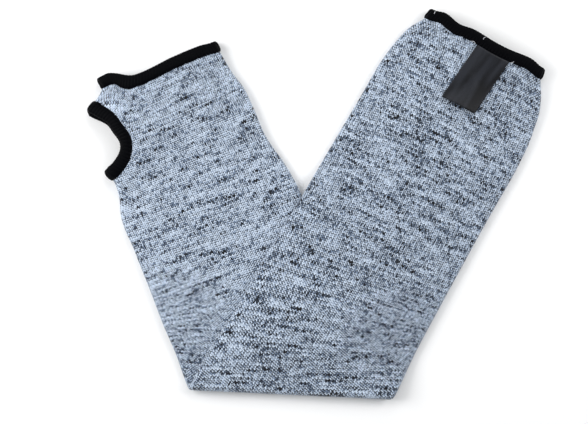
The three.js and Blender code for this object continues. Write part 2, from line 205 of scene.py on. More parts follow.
def readTable(rows, x):
    # smooth curve through the rows; the first column is where, the others are what
    at = rows[:, 0]
    x = np.clip(x, at[0], at[-1])
    slopes = np.empty_like(rows)
    slopes[1:-1] = (rows[2:] - rows[:-2]) / (at[2:] - at[:-2])[:, None]
    slopes[0] = (rows[1] - rows[0]) / (at[1] - at[0])
    slopes[-1] = (rows[-1] - rows[-2]) / (at[-1] - at[-2])
    i = np.clip(np.searchsorted(at, x, side="right") - 1, 0, len(at) - 2)
    span = (at[i + 1] - at[i])[:, None]
    u = (x[:, None] - at[i][:, None]) / span
    return (
        (2 * u**3 - 3 * u**2 + 1) * rows[i]
        + (u**3 - 2 * u**2 + u) * slopes[i] * span
        + (3 * u**2 - 2 * u**3) * rows[i + 1]
        + (u**3 - u**2) * slopes[i + 1] * span
    )


def sectionAt(s):
    share = s / sleeve["length"]
    row = readTable(sections, share)
    mouth = np.where(share < widestAt, sleeve["handWidth"], sleeve["armWidth"])
    half = (mix(mouth, sleeve["flatWidth"], row[:, 1]) - sleeve["wall"]) / 2
    return half, row[:, 2] * sleeve["flatWidth"], row[:, 3] * sleeve["legHollow"]


def spotAt(turn):
    # turn 0 to 1 is the left roll, 1 to 2 a layer, 2 to 3 the right roll, 3 to 4 the other layer
    t = np.mod(turn, 4)
    left, first, right = t < 1, (t >= 1) & (t < 2), (t >= 2) & (t < 3)
    angle = np.where(left, pi * (1.5 - t), pi * (2.5 - t))
    roll = left | right
    across = np.select([left, first, right], [-1, 2 * t - 3, 1], 7 - 2 * t)
    out = np.where(roll, np.cos(angle), 0)
    up = np.where(roll, np.sin(angle), np.where(first, 1, -1))
    return across, out, up


def heldOpen(s):
    return ease(1 - np.minimum(s - slotEnd, sleeve["length"] - s) / sleeve["mouthReach"])


def rollAt(s, away):
    free = mix(foldRoll, edgeRoll, ease(away / fold["pinchReach"]))
    return mix(free, mouthRoll, heldOpen(s))


def crownAt(s, away, hollow):
    edge = 2 * rollAt(s, away) - sleeve["wall"]
    return np.maximum(0, hollow - edge) * ease(away / fold["pinchReach"])


def crownShape(across):
    return np.cos(pi / 2 * np.minimum(1, np.abs(across)))


def flareAt(row):
    hand = slot["handFlare"] * bell((row - slotStart - slot["handFlareInside"]) / slot["flareReach"])
    arm = slot["armFlare"] * bell((row - slotEnd + slot["armFlareInside"]) / slot["flareReach"])
    return hand + arm


def liftAt(s, t, half):
    mouth = ease(1 - (np.minimum(s, sleeve["length"] - s) - edging["cover"]) / edging["liftReach"])
    along = (s - slot["fromHand"]) / (slot["length"] / 2 + edging["slotLiftReach"])
    across = (t + half) / (slot["girth"] / 2 + edging["liftReach"])
    out = np.hypot(along, np.maximum(0, across))
    beside = ease((edging["liftEnds"] - out) / (edging["liftEnds"] - edging["liftFull"]))
    return edgingRise * np.maximum(mouth, beside)


def gapeAt(s, t, half):
    along = bell((s - slot["fromHand"]) / (slot["gapeLong"] * slot["length"]))
    across = (t + half - slot["gapeInside"] * slot["girth"]) / (slot["gapeWide"] * slot["girth"])
    return slot["gape"] * along * bell(across)


def softFoldAt(s, t, half, drift):
    rise = 0
    for at, across, long, wide, turn, height in softFolds:
        a = radians(turn)
        ds = s - at * sleeve["length"]
        dt = t - drift - across * half
        along = (dt * cos(a) + ds * sin(a)) / (long * sleeve["flatWidth"])
        over = (ds * cos(a) - dt * sin(a)) / (wide * sleeve["flatWidth"])
        rise = rise + height * sleeve["legHollow"] * bell(along) * bell(over)
    return rise


def supportAt(x, y):
    # height of what the upper leg rests on
    s = fold["fromHand"] + foldRows / 2 - (y + turnLength / 2) * creaseCos + x * creaseSin
    t = x * creaseCos + (y + turnLength / 2) * creaseSin
    half, drift, hollow = sectionAt(s)
    across = (t - drift) / half
    top = sleeve["wall"] + 2 * rollAt(s, y) + crownAt(s, y, hollow) * crownShape(across)
    gap = mix(fold["gap"], fold["restGap"], ease(y / fold["pinchReach"]))
    return (top + gap) * (1 - ease((across - 1) * half / fold["drapeReach"]))


def fabric(row, turn):
    # a point in the middle of the fabric's thickness, in millimetres from the fold's middle
    across, out, up = spotAt(turn)
    half, drift = sectionAt(row)[:2]
    side = drift + across * half
    fromFold = np.abs(row - fold["fromHand"] - turnLength / 2)
    skew = 1 - ease((fromFold - fold["skewFull"]) / fold["skewReach"])
    hand = readTable(handEdge, across)[:, 1] * sleeve["handWidth"]
    arm = readTable(armEdge, across)[:, 1] * sleeve["armWidth"]
    reach = sleeve["mouthReach"]
    s = row + skew * creaseTan * side - hand * ease(1 - row / reach)
    s = s + arm * ease(1 - (sleeve["length"] - row) / reach)

    half, drift, hollow = sectionAt(s)
    rough = drift + across * half
    past = (s - fold["fromHand"]) * creaseCos - rough * creaseSin
    away = np.where(past > turnLength, past - turnLength, np.maximum(0, -past))
    roll = rollAt(s, away)
    flare = flareAt(row) * np.maximum(0, -across) ** slot["flareSharpness"]
    t = drift + across * (half - roll) + out * roll - flare
    lift = liftAt(s, t - drift, half)
    shape = crownShape(across)
    crown = crownAt(s, away, hollow) * shape
    crown = crown + softFoldAt(s, t, half, drift) * ease(away / fold["pinchReach"]) * shape
    gape = gapeAt(s, t - drift, half)

    x = (s - fold["fromHand"] - foldRows / 2) * creaseSin + t * creaseCos
    d = (s - fold["fromHand"]) * creaseCos - t * creaseSin
    slant = fold["slant"] * x * bell(away / fold["pinchReach"])
    thick = sleeve["wall"] / 2

    lowY = -d
    lowZ = thick + lift + roll * (1 + up) + (1 + up) / 2 * (crown + gape)
    angle = np.clip(d, 0, turnLength) / foldRadius
    reach = foldRadius - roll * up
    turnY = -reach * np.sin(angle)
    turnZ = thick + roll + foldRadius - reach * np.cos(angle)
    highY = d - turnLength
    highZ = supportAt(x, highY) + thick + lift + roll * (1 - up) + (1 - up) / 2 * crown
    y = np.select([d <= 0, d < turnLength], [lowY, turnY], highY) - slant
    z = np.select([d <= 0, d < turnLength], [lowZ, turnZ], highZ)
    return np.stack([x, y, z], axis=1)


# Steps in which the fabric's slope is measured.
rowStep = 0.5     # millimetres, along the sleeve or round it
turnStep = 0.02   # of a turn, which counts 4 once round


def facing(row, turn):
    around = fabric(row, turn + turnStep) - fabric(row, turn - turnStep)
    along = fabric(row + rowStep, turn) - fabric(row - rowStep, turn)
    normal = np.cross(along, around)
    return normal / np.linalg.norm(normal, axis=1)[:, None]


def offset(row, turn, out):
    out = np.broadcast_to(out, row.shape)
    return fabric(row, turn) + facing(row, turn) * out[:, None]


def turnAt(row, aside):
    # turn of a place on the fabric, given in millimetres from the middle of the left roll, where a
    # positive number lies on the upper layer
    half = sectionAt(row)[0]
    roll = rollAt(row, fold["fromHand"])
    quarter = pi / 2 * roll
    flat = (np.abs(aside) - quarter) / (2 * (half - roll))
    inRoll = 0.5 + aside / (2 * quarter)
    return np.where(np.abs(aside) < quarter, inRoll, np.where(aside > 0, 1 + flat, 4 - flat))


def besideSlot(angle, past):
    # row and turn of a place past millimetres inside the slot's edge, square to it on the fabric
    row = slot["fromHand"] - slot["length"] / 2 * np.cos(angle)
    aside = slot["girth"] / 2 * np.sin(angle) + slot["turn"]
    step = rowStep
    perRow = fabric(row + step, turnAt(row + step, aside)) - fabric(row - step, turnAt(row - step, aside))
    perRound = fabric(row, turnAt(row, aside + step)) - fabric(row, turnAt(row, aside - step))
    perRow, perRound = perRow / (2 * step), perRound / (2 * step)
    edgeRow = slot["length"] / 2 * np.sin(angle)
    edgeRound = slot["girth"] / 2 * np.cos(angle)
    edge = perRow * edgeRow[:, None] + perRound * edgeRound[:, None]
    byRow, byRound = -(edge * perRound).sum(axis=1), (edge * perRow).sum(axis=1)
    length = np.linalg.norm(perRow * byRow[:, None] + perRound * byRound[:, None], axis=1)
    inward = np.sign(byRow * (slot["fromHand"] - row) + byRound * (slot["turn"] - aside))
    share = inward * past / length
    row = row + share * byRow
    return row, turnAt(row, aside + share * byRound)


# Small unevenness that the knit has and the solids don't, in millimetres.
unevenness = dict(
    broad=0.5,           # height of the broad waves
    broadSize=34,        # their size
    small=0.2,
    smallSize=12,
    foldClear=20,        # none this near to the fold
    foldFade=50,
    pucker=0.42,         # height of the gathers beside the edgings
    puckerPitch=8.5,
    puckerStray=3,       # how far the broad waves push them aside
    puckerReach=11,
    mouthHalf=38,        # half the width of a mouth, for their number
)


def unevenAt(row, turn, point):
    # how far the knit swells out or sinks in, away from its smooth form
    across = spotAt(turn)[0]
    away = np.abs(row - fold["fromHand"] - foldRows / 2)
    free = ease((away - unevenness["foldClear"]) / unevenness["foldFade"]) * crownShape(across) ** 0.5
    elsewhere = Vector((7, 3, 1))
    broad = np.array([noise.noise(Vector(p) / unevenness["broadSize"]) for p in point])
    small = np.array([noise.noise(Vector(p) / unevenness["smallSize"] + elsewhere) for p in point])
    gather = 0
    for edge in (0, sleeve["length"]):
        gap = np.abs(row - edge) - edging["cover"]
        phase = 2 * pi * across * unevenness["mouthHalf"] / unevenness["puckerPitch"]
        wave = np.sin(phase + unevenness["puckerStray"] * broad)
        gather = gather + wave * np.exp(-np.maximum(0, gap) / unevenness["puckerReach"])
    swell = unevenness["broad"] * broad + unevenness["small"] * small + unevenness["pucker"] * gather
    return free * swell


def newPiece(name, mesh, material, slotName, *replaced):
    piece = bpy.data.objects.new(name, mesh)
    bpy.context.scene.collection.objects.link(piece)
    piece.data.materials.append(material)
    for face in piece.data.polygons:
        face.use_smooth = True
    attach(piece, "root")
    if replaced:
        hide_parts(*replaced)
    return piece


def applyModifier(piece, kind, **settings):
    modifier = piece.modifiers.new(kind.title(), kind)
    for name, value in settings.items():
        setattr(modifier, name, value)
    bpy.context.view_layer.objects.active = piece
    with bpy.context.temp_override(object=piece, active_object=piece):
        bpy.ops.object.modifier_apply(modifier=modifier.name)


# The part's origin is under the middle of its box, so the fold's middle is found from the knit's own box.
def foldMiddle():
    rows, turns = np.meshgrid(np.linspace(0, sleeve["length"], 400), np.arange(0, 4, 0.05))
    points = offset(rows.ravel(), turns.ravel(), sleeve["wall"] / 2) * mm
    low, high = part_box("knit_body")
    centre = (np.array(low) + np.array(high)) / 2
    shift = centre - (points.min(axis=0) + points.max(axis=0)) / 2
    shift[2] = low[2] - points[:, 2].min()
    return shift


origin = foldMiddle()
print("fold's middle at", origin)


def toPart(points):
    return points * mm + origin


# Materials

def colour(hexCode):
    parts = [int(hexCode[i:i + 2], 16) / 255 for i in (1, 3, 5)]
    return (*[c / 12.92 if c <= 0.04045 else ((c + 0.055) / 1.055) ** 2.4 for c in parts], 1)


def addNode(tree, kind, inputs, **settings):
    node = tree.nodes.new("ShaderNode" + kind)
    for name, value in settings.items():
        setattr(node, name, value)
    for socket, value in inputs.items():
        if isinstance(value, bpy.types.NodeSocket):
            tree.links.new(value, node.inputs[socket])
        else:
            node.inputs[socket].default_value = value
    return node


def newMaterial(name):
    material = bpy.data.materials.new(name)
    material.use_nodes = True
    material.node_tree.nodes.clear()
    return material, material.node_tree


marl = dict(
    light="#d8e7fa",
    mid="#8196b4",
    dark="#060a14",
    own=0.33,            # share of chance from stitch to stitch
    streak=0.56,         # share of the dark strand's runs
    patch=0.2,           # share of broad lighter and darker places
    streakWales=8,       # length of the longest runs, in stitches
    patchWales=22,
    patchCourses=2.5,
    lightTo=0.37,        # below this a stitch is light
    darkFrom=0.565,      # above this it is dark
    handCourses=130,     # courses from the hand mouth that show less of the dark strand
    handLighter=0.02,
    strand=0.45,         # how much of a stitch's leg the dark strand can cover
    strandEdge=0.07,     # how softly it ends on the leg
    strandOff=-0.2,      # what the uncovered part of a leg adds to the chance
    strandOn=0.06,       # and the covered part
    runShift=3.71,       # these two keep the runs of neighbouring courses apart
    runApart=1.37,
    climb=1.7,           # how steep the legs of a stitch are
    loopShare=0.6,       # of the valley between wales, against that between the legs
    fibres=(3, 9, 1),    # in a stitch, across and along
    fibreRise=0.25,
    valley=0.52,         # painted shade in the valleys between the stitches, as a share of the colour
    roughness=0.92,
    sheen=0.35,
    stitchRise=0.3,      # millimetres, for the bump
)


# Plain knit of high strength polyethylene yarn, 13 needles to the inch, two strands run in together: one
# pale blue-grey, one dark slate. To the eye it is pale cloth with short dark flecks along the courses.
def knitMaterial():
    material, tree = newMaterial("polyethylene yarn, plain knitted, marl")
    uv = addNode(tree, "UVMap", {}, uv_map="stitches").outputs["UV"]
    parts = addNode(tree, "SeparateXYZ", {"Vector": uv})
    wale, course = parts.outputs["X"], parts.outputs["Y"]

    # each stitch is a V: its two legs climb from the middle of the wale
    inWale = addNode(tree, "Math", {0: wale}, operation="FRACT").outputs[0]
    fromMiddle = addNode(tree, "Math", {0: inWale, 1: 0.5}, operation="SUBTRACT").outputs[0]
    aside = addNode(tree, "Math", {0: fromMiddle}, operation="ABSOLUTE").outputs[0]
    climb = {0: aside, 1: -marl["climb"], 2: course}
    climbed = addNode(tree, "Math", climb, operation="MULTIPLY_ADD").outputs[0]
    courseNumber = addNode(tree, "Math", {0: climbed}, operation="FLOOR").outputs[0]
    inCourse = addNode(tree, "Math", {0: climbed}, operation="FRACT").outputs[0]

    # rounded yarn across the leg, a valley between the two legs and a deeper one between wales, for the
    # bump and the painted shade
    yarn = addNode(tree, "Math", {0: inCourse, 1: pi}, operation="MULTIPLY").outputs[0]
    yarn = addNode(tree, "Math", {0: yarn}, operation="SINE").outputs[0]
    legs = addNode(tree, "Math", {0: wale, 1: 2 * pi}, operation="MULTIPLY").outputs[0]
    legs = addNode(tree, "Math", {0: legs}, operation="SINE").outputs[0]
    legs = addNode(tree, "Math", {0: legs}, operation="ABSOLUTE").outputs[0]
    loop = addNode(tree, "Math", {0: wale, 1: pi}, operation="MULTIPLY").outputs[0]
    loop = addNode(tree, "Math", {0: loop}, operation="SINE").outputs[0]
    loop = addNode(tree, "Math", {0: loop}, operation="ABSOLUTE").outputs[0]
    loop = addNode(tree, "Math", {0: loop, 1: marl["loopShare"]}, operation="MULTIPLY").outputs[0]
    across = {0: legs, 1: 1 - marl["loopShare"], 2: loop}
    across = addNode(tree, "Math", across, operation="MULTIPLY_ADD")
    across = addNode(tree, "Math", {0: across.outputs[0], 1: 0.6}, operation="POWER").outputs[0]
    rise = addNode(tree, "Math", {0: yarn, 1: across}, operation="MULTIPLY").outputs[0]

    # chance of the dark strand: for this leg, for its run along the course and for the place
    half = addNode(tree, "Math", {0: wale, 1: 2}, operation="MULTIPLY").outputs[0]
    half = addNode(tree, "Math", {0: half}, operation="FLOOR").outputs[0]
    leg = addNode(tree, "CombineXYZ", {"X": half, "Y": courseNumber}).outputs[0]
    own = addNode(tree, "TexWhiteNoise", {"Vector": leg}, noise_dimensions="2D").outputs["Value"]
    shift = addNode(tree, "Math", {0: courseNumber, 1: marl["runShift"]}, operation="MULTIPLY").outputs[0]
    along = addNode(tree, "Math", {0: wale, 1: 1 / marl["streakWales"], 2: shift}, operation="MULTIPLY_ADD")
    apart = addNode(tree, "Math", {0: courseNumber, 1: marl["runApart"]}, operation="MULTIPLY").outputs[0]
    run = addNode(tree, "CombineXYZ", {"X": along.outputs[0], "Y": apart}).outputs[0]
    streak = addNode(tree, "TexNoise", {"Vector": run, "Scale": 1, "Detail": 1, "Roughness": 0.6},
                     noise_dimensions="2D").outputs["Fac"]
    place = addNode(tree, "Mapping", {
        "Vector": uv, "Scale": (1 / marl["patchWales"], 1 / marl["patchCourses"], 1)}).outputs[0]
    patch = addNode(tree, "TexNoise", {"Vector": place, "Scale": 1, "Detail": 2, "Roughness": 0.6},
                    noise_dimensions="2D").outputs["Fac"]
    amount = addNode(tree, "Math", {0: own, 1: marl["own"]}, operation="MULTIPLY").outputs[0]
    for chance, share in ((streak, marl["streak"]), (patch, marl["patch"])):
        amount = addNode(tree, "Math", {0: chance, 1: share, 2: amount}, operation="MULTIPLY_ADD")
        amount = amount.outputs[0]
    hand = addNode(tree, "MapRange", {
        "Value": course, "From Min": marl["handCourses"] * 0.6, "From Max": marl["handCourses"] * 1.4,
        "To Min": -marl["handLighter"], "To Max": 0}).outputs[0]
    amount = addNode(tree, "Math", {0: amount, 1: hand}, operation="ADD").outputs[0]

    # the strand covers the upper part of the leg, and its edge is the yarn's own twist
    start, edge = 1 - marl["strand"], marl["strandEdge"]
    strand = addNode(tree, "MapRange", {
        "Value": inCourse, "From Min": start - edge, "From Max": start + edge,
        "To Min": marl["strandOff"], "To Max": marl["strandOn"]}).outputs[0]
    amount = addNode(tree, "Math", {0: amount, 1: strand}, operation="ADD").outputs[0]
    ramp = addNode(tree, "ValToRGB", {"Fac": amount})
    stops = ramp.color_ramp.elements
    stops[0].position, stops[0].color = marl["lightTo"], colour(marl["light"])
    stops[1].position, stops[1].color = marl["darkFrom"], colour(marl["dark"])
    middle = stops.new((marl["lightTo"] + marl["darkFrom"]) / 2)
    middle.color = colour(marl["mid"])
    # painted shade: the colour darkens in the low places between the legs and between the wales
    shade = addNode(tree, "MapRange", {"Value": rise, "From Min": 0, "From Max": 0.75,
                                       "To Min": marl["valley"], "To Max": 1}).outputs[0]
    tint = addNode(tree, "VectorMath", {0: ramp.outputs["Color"], "Scale": shade}, operation="SCALE")

    # fibres along the yarn
    fibre = addNode(tree, "Mapping", {"Vector": uv, "Scale": marl["fibres"]}).outputs[0]
    fibre = addNode(tree, "TexNoise", {"Vector": fibre, "Scale": 1, "Detail": 3}, noise_dimensions="2D")
    fibre = fibre.outputs["Fac"]
    height = addNode(tree, "Math", {0: fibre, 1: marl["fibreRise"], 2: rise}, operation="MULTIPLY_ADD")
    bump = addNode(tree, "Bump", {"Height": height.outputs[0], "Strength": 1,
                                  "Distance": marl["stitchRise"] * mm}).outputs[0]
    shader = addNode(tree, "BsdfPrincipled", {
        "Base Color": tint.outputs[0], "Roughness": marl["roughness"], "Sheen Weight": marl["sheen"],
        "Sheen Roughness": 0.5, "Specular IOR Level": 0.2, "Normal": bump}).outputs[0]
    addNode(tree, "OutputMaterial", {"Surface": shader})
    return material


overlock = dict(
    thread="#010102",
    # painted highlight on the ribs' crests; thread is the colour in the painted shade between them
    paintedHighlight="#06070c",
    roughness=0.5,
    gloss=0.035,
    sheen=0.004,
    strands=3,           # in one wrapped thread
    strandRise=0.3,      # of the strands, against the thread's own unevenness
    bump=0.8,
    bumpRise=0.16,       # millimetres
)


# Overlock edging of textured polyester thread, wrapped tightly round the fabric's edge. To the eye it is
# a dense black band of fine cross ribs with a faint bluish bloom.
# The ribs' crests carry a painted highlight, and the low places between them painted shade.
def edgingMaterial():
    material, tree = newMaterial("polyester thread, textured, overlocked")
    uv = addNode(tree, "UVMap", {}, uv_map="threads").outputs["UV"]
    parts = addNode(tree, "SeparateXYZ", {"Vector": uv})
    thread, over = parts.outputs["X"], parts.outputs["Y"]
    turned = addNode(tree, "Math", {0: thread, 1: 2 * pi * overlock["strands"]}, operation="MULTIPLY")
    strand = addNode(tree, "Math", {0: turned.outputs[0]}, operation="SINE").outputs[0]
    twist = addNode(tree, "CombineXYZ", {"X": thread, "Y": over}).outputs[0]
    twist = addNode(tree, "Mapping", {"Vector": twist, "Scale": (2.5, 1.2, 1)}).outputs[0]
    twist = addNode(tree, "TexNoise", {"Vector": twist, "Scale": 1.5, "Detail": 4, "Roughness": 0.7},
                    noise_dimensions="2D").outputs["Fac"]
    height = {0: strand, 1: overlock["strandRise"], 2: twist}
    height = addNode(tree, "Math", height, operation="MULTIPLY_ADD").outputs[0]
    bump = addNode(tree, "Bump", {"Height": height, "Strength": overlock["bump"],
                                  "Distance": overlock["bumpRise"] * mm}).outputs[0]
    # painted shade and highlight: from thread in the ribs' low places to the painted highlight on their
    # crests
    ramp = addNode(tree, "ValToRGB", {"Fac": height})
    stops = ramp.color_ramp.elements
    stops[0].position, stops[0].color = 0.2, colour(overlock["thread"])
    stops[1].position, stops[1].color = 0.95, colour(overlock["paintedHighlight"])
    shader = addNode(tree, "BsdfPrincipled", {
        "Base Color": ramp.outputs["Color"], "Roughness": overlock["roughness"],
        "Sheen Weight": overlock["sheen"], "Sheen Roughness": 0.4, "Sheen Tint": colour("#8fa0c0"),
        "Specular IOR Level": overlock["gloss"], "Normal": bump}).outputs[0]
    addNode(tree, "OutputMaterial", {"Surface": shader})
    return material


satin = dict(
    ground="#101114",
    # painted sheen: the lighter end of the colour, reached mostly in the slanting sheen patches and partly
    # through the threads' own tone
    paintedHighlight="#27292f",
    threadPitch=0.16,    # millimetres
    threadTone=0.35,     # how much the threads show, against the painted sheen
    paintedSheenTurn=32,        # degrees
    paintedSheenScale=(0.16, 0.035, 1),   # patches of painted sheen in a millimetre, across and along
    roughness=0.42,
)


# Woven polyester satin ribbon. To the eye it is a smooth near-black strip with a silky, slanting sheen,
# partly its glossy surface and partly painted into its colour as lighter slanting patches.
def satinMaterial():
    material, tree = newMaterial("polyester satin, woven ribbon")
    uv = addNode(tree, "UVMap", {}, uv_map="weave").outputs["UV"]
    lines = addNode(tree, "Mapping", {"Vector": uv, "Scale": (1 / satin["threadPitch"], 0.4, 1)}).outputs[0]
    lines = addNode(tree, "TexNoise", {"Vector": lines, "Scale": 1, "Detail": 2}, noise_dimensions="2D")
    # painted sheen: slanting patches of lighter colour, added to the threads' own tone
    sheen = addNode(tree, "Mapping", {"Vector": uv, "Rotation": (0, 0, radians(satin["paintedSheenTurn"])),
                                      "Scale": satin["paintedSheenScale"]}).outputs[0]
    sheen = addNode(tree, "TexNoise", {"Vector": sheen, "Scale": 1, "Detail": 1}, noise_dimensions="2D")
    tone = addNode(tree, "Math", {0: lines.outputs["Fac"], 1: satin["threadTone"], 2: sheen.outputs["Fac"]},
                   operation="MULTIPLY_ADD").outputs[0]
    ramp = addNode(tree, "ValToRGB", {"Fac": tone})
    stops = ramp.color_ramp.elements
    stops[0].position, stops[0].color = 0.5, colour(satin["ground"])
    stops[1].position, stops[1].color = 0.85, colour(satin["paintedHighlight"])
    bump = addNode(tree, "Bump", {"Height": lines.outputs["Fac"], "Strength": 0.5,
                                  "Distance": 0.05 * mm}).outputs[0]
    shader = addNode(tree, "BsdfPrincipled", {
        "Base Color": ramp.outputs["Color"], "Roughness": satin["roughness"], "Anisotropic": 0.5,
        "Specular IOR Level": 0.2, "Normal": bump}).outputs[0]
    addNode(tree, "OutputMaterial", {"Surface": shader})
    return material


def setUv(mesh, name, values):
    # one pair for each vertex of the mesh, before any seam is closed
    layer = mesh.loops.layers.uv.new(name)
    for face in mesh.faces:
        for loop in face.loops:
            loop[layer].uv = values[loop.vert.index]


# The mesh of the knit: quads along and round. The numbers of courses and wales are whole.
knit = dict(
    rowCount=292,
    rollCount=9,
    layerCount=70,
    courses=338,
    wales=120,
    rollShare=0.035,     # share of the wales that lie in one roll
)
weld = 0.02 * mm         # points nearer than this are one, where a seam is closed


# The knitted tube: a flat grid of rows and stations, rolled and folded, with the slot's stitches taken out.
def knitPiece(material):
    stops = np.cumsum([0, knit["rollCount"], knit["layerCount"], knit["rollCount"], knit["layerCount"]])
    stations = np.interp(np.arange(stops[-1] + 1), stops, range(5))
    rows = np.linspace(0, sleeve["length"], knit["rowCount"] + 1)
    sheet = bmesh.new()
    bmesh.ops.create_grid(sheet, x_segments=len(stations) - 1, y_segments=len(rows) - 1, size=1)
    sheet.verts.ensure_lookup_table()
    flat = np.array([v.co[:2] for v in sheet.verts])
    column = np.rint((flat[:, 0] + 1) / 2 * (len(stations) - 1)).astype(int)
    line = np.rint((flat[:, 1] + 1) / 2 * (len(rows) - 1)).astype(int)
    row, turn = rows[line], stations[column]
    roll = knit["rollShare"]
    wale = np.interp(turn, range(5), np.array([0, roll, 0.5, 0.5 + roll, 1]) * knit["wales"])
    setUv(sheet, "stitches", np.stack([wale, row / sleeve["length"] * knit["courses"]], axis=1))

    # inside the slot
    half = sectionAt(row)[0]
    roll = rollAt(row, fold["fromHand"])
    quarter = pi / 2 * roll
    flatPart = 2 * (half - roll)
    spot = np.mod(turn, 4)
    inRoll = (spot - 0.5) * 2 * quarter
    above = quarter + (spot - 1) * flatPart
    below = -quarter - (4 - spot) * flatPart
    aside = np.select([spot < 1, spot < 2, spot < 3], [inRoll, above, np.inf], below)
    reach = np.hypot((row - slot["fromHand"]) / (slot["length"] / 2),
                     (aside - slot["turn"]) / (slot["girth"] / 2))
    smooth = fabric(row, turn)
    uneven = unevenAt(row, turn, smooth)
    points = toPart(smooth + facing(row, turn) * uneven[:, None])
    cut = [f for f in sheet.faces if any(reach[v.index] < 1 for v in f.verts)]
    for vert, point in zip(sheet.verts, points):
        vert.co = point
    bmesh.ops.delete(sheet, geom=cut, context="FACES")
    bmesh.ops.remove_doubles(sheet, verts=sheet.verts, dist=weld)
    mesh = bpy.data.meshes.new("knit_sleeve")
    sheet.to_mesh(mesh)
    sheet.free()
    piece = newPiece("knit_sleeve", mesh, material, "knit", "knit_body")
    applyModifier(piece, "SOLIDIFY", thickness=sleeve["wall"] * mm, offset=0, use_even_offset=True)
    return piece


# Section of an edging: how far past the fabric's cut edge, and how far out from the fabric's middle.
def edgingSection(count=22):
    cover, beyond, thick = edging["cover"], edging["beyond"], edging["thick"]
    angle = np.linspace(0, 2 * pi, count, endpoint=False)
    middle, reach = (beyond - cover) / 2, (beyond + cover) / 2
    past = middle + reach * np.sign(np.cos(angle)) * np.abs(np.cos(angle)) ** edging["square"]
    out = thick / 2 * np.sign(np.sin(angle)) * np.abs(np.sin(angle)) ** edging["square"]
    return past, out


# place(share, past, out) gives points of an edging that runs once round as share goes from 0 to 1.
def edgingPiece(name, material, node, place):
    fine = np.linspace(0, 1, 2001)
    line = place(fine, np.zeros_like(fine), np.zeros_like(fine))
    run = np.concatenate([[0], np.cumsum(np.linalg.norm(np.diff(line, axis=0), axis=1))])
    threads = round(run[-1] / edging["threadPitch"])
    stationCount = threads * edging["stationsPerThread"]
    past, out = edgingSection()
    band = bmesh.new()
    bmesh.ops.create_grid(band, x_segments=stationCount, y_segments=len(past), size=1)
    flat = np.array([v.co[:2] for v in band.verts])
    station = (flat[:, 0] + 1) / 2
    corner = np.rint((flat[:, 1] + 1) / 2 * len(past)).astype(int) % len(past)
    share = np.interp(station * run[-1], run, fine)
    # each thread is a low round rib that leans a little on its way over the edge
    lean = edging["threadSlant"] * past[corner] / edging["cover"] * np.sign(out[corner])
    phase = station * threads + lean
    rib = np.abs(np.sin(pi * phase)) ** edging["ribPower"] - 0.5
    swell = 1 + 2 * edging["threadRise"] / edging["thick"] * rib
    middle = (edging["beyond"] - edging["cover"]) / 2
    widen = 1 + rib * np.where(past[corner] < middle, edging["ribInside"], edging["ribOutside"])
    points = place(share, middle + (past[corner] - middle) * widen, out[corner] * swell)
    band.verts.ensure_lookup_table()
    setUv(band, "threads", np.stack([phase, (flat[:, 1] + 1) / 2 * len(past)], axis=1))
    for vert, point in zip(band.verts, toPart(points)):
        vert.co = point
    bmesh.ops.remove_doubles(band, verts=band.verts, dist=weld)
    mesh = bpy.data.meshes.new(name)
    band.to_mesh(mesh)
    band.free()
    return newPiece(name, mesh, material, "edging", node)


def handPlace(share, past, out):
    return offset(-past, 4 * share, out)


def armPlace(share, past, out):
    return offset(sleeve["length"] + past, 4 * share, out)


def thumbPlace(share, past, out):
    row, turn = besideSlot(2 * pi * share, past)
    return offset(row, turn, out)


# The label, in millimetres. It is thinner than in the solids, its clearance and curl are a little larger,
# and its top reaches further up.
labelCloth = dict(
    width=22,
    length=36.5,
    thick=0.35,
    across=13.4,
    lean=0.12,
    curl=1.6,            # how far its loose end stands up
    dent=0.5,            # depth of a slanting fold across it
    dentLean=0.55,
    dentAt=9,
    dentWide=5,
    clearance=0.45,      # from the knit
    upward=0.8,          # from where the clearance would end it, so that no gap shows at the edging
)


def labelPiece(material):
    ribbon = bmesh.new()
    bmesh.ops.create_grid(ribbon, x_segments=24, y_segments=40, size=1)
    ribbon.verts.ensure_lookup_table()
    flat = np.array([v.co[:2] for v in ribbon.verts])
    across = flat[:, 0] / 2 * labelCloth["width"]
    down = (1 - flat[:, 1]) / 2 * labelCloth["length"]
    setUv(ribbon, "weave", np.stack([across, down], axis=1))
    top = sleeve["length"] - edging["cover"] - labelCloth["clearance"] + labelCloth["upward"]
    row = top - down
    half, drift = sectionAt(row)[:2]
    roll = rollAt(row, fold["fromHand"])
    t = labelCloth["across"] + across - labelCloth["lean"] * down
    share = down / labelCloth["length"]
    dent = np.abs(across + labelCloth["dentLean"] * down - labelCloth["dentAt"]) / labelCloth["dentWide"]
    curl = labelCloth["curl"] * share**3 + labelCloth["dent"] * (1 - bell(dent))
    out = sleeve["wall"] / 2 + labelCloth["clearance"] + curl
    points = toPart(offset(row, (7 - (t - drift) / (half - roll)) / 2, out))
    for vert, point in zip(ribbon.verts, points):
        vert.co = point
    bmesh.ops.recalc_face_normals(ribbon, faces=ribbon.faces)
    mesh = bpy.data.meshes.new("satin_label")
    ribbon.to_mesh(mesh)
    ribbon.free()
    piece = newPiece("satin_label", mesh, material, "label", "label")
    applyModifier(piece, "SOLIDIFY", thickness=labelCloth["thick"] * mm, offset=0)
    return piece


# Loose ends of sewing thread at the label's upper corners, and two wisps of lint on the arm's edging.
looseEnds = [
    # name, row from the arm mouth, across, height, length, turn in degrees, curl in degrees, radius
    ("label_thread_left", -5.4, 1.5, 1.0, 3.6, 150, 70, 0.17),
    ("label_thread_right", -5.8, 25.2, 1.0, 3.2, 20, 100, 0.17),
    ("lint_left", -0.8, -29.5, 2.0, 1.8, 60, 60, 0.16),
    ("lint_middle", -1.2, 4.2, 2.1, 2.2, 110, -80, 0.14),
]
hairs = dict(
    shade="#b9bdc4",
    light="#eef0f4",
    rise=0.5,            # how far a hair arches up between its ends
    taper=0.75,          # share of its thickness that it loses towards its tip
    stops=15,            # places along it
    sides=8,
    weld=0.001,
)


